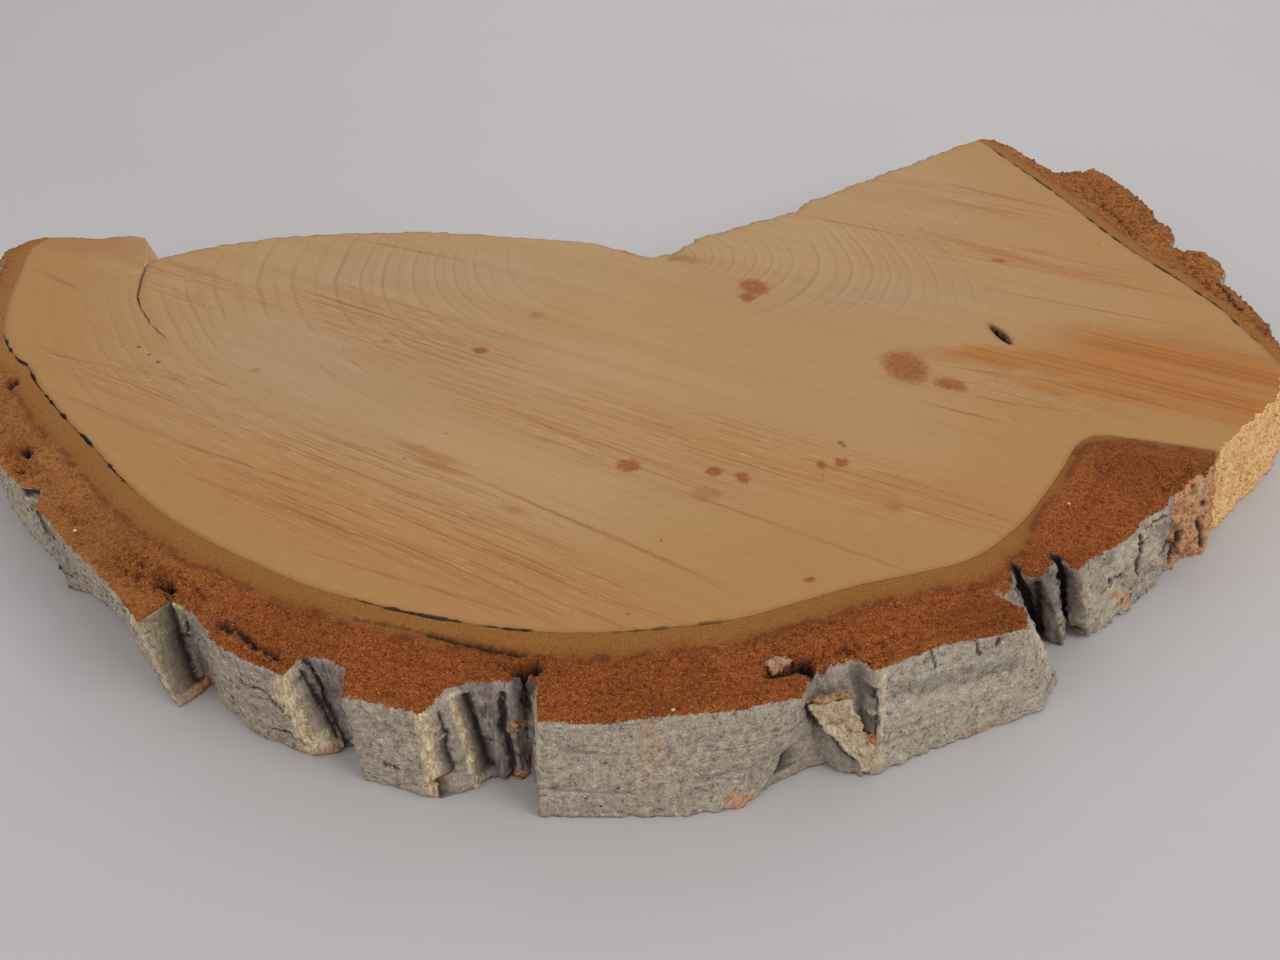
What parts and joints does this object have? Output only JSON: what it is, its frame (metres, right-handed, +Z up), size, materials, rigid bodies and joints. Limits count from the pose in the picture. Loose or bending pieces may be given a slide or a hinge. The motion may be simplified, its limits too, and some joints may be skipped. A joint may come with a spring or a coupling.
{
  "type": "wood slice",
  "caption": "Flat slab sawn across a log, broken through its pith, with ring-marked wood inside a rim of plated, furrowed bark.",
  "frame": {"origin": "middle of the box round the slice, on its underside", "axes": "+X along the slice's greatest length, towards the end where the bark is broken away; +Y from the curved bark side towards the broken back; +Z up, along the log's own axis"},
  "size_m": [0.3175, 0.2552, 0.02],
  "materials": {
    "wood": "dry sawn end grain with growth rings, slanting saw marks and resin stains",
    "bark": "granular red-brown inner bark with weathered grey, furrowed outer plates"
  },
  "bodies": {
    "root": {"wood_slice": "wood"}
  },
  "joints": []
}
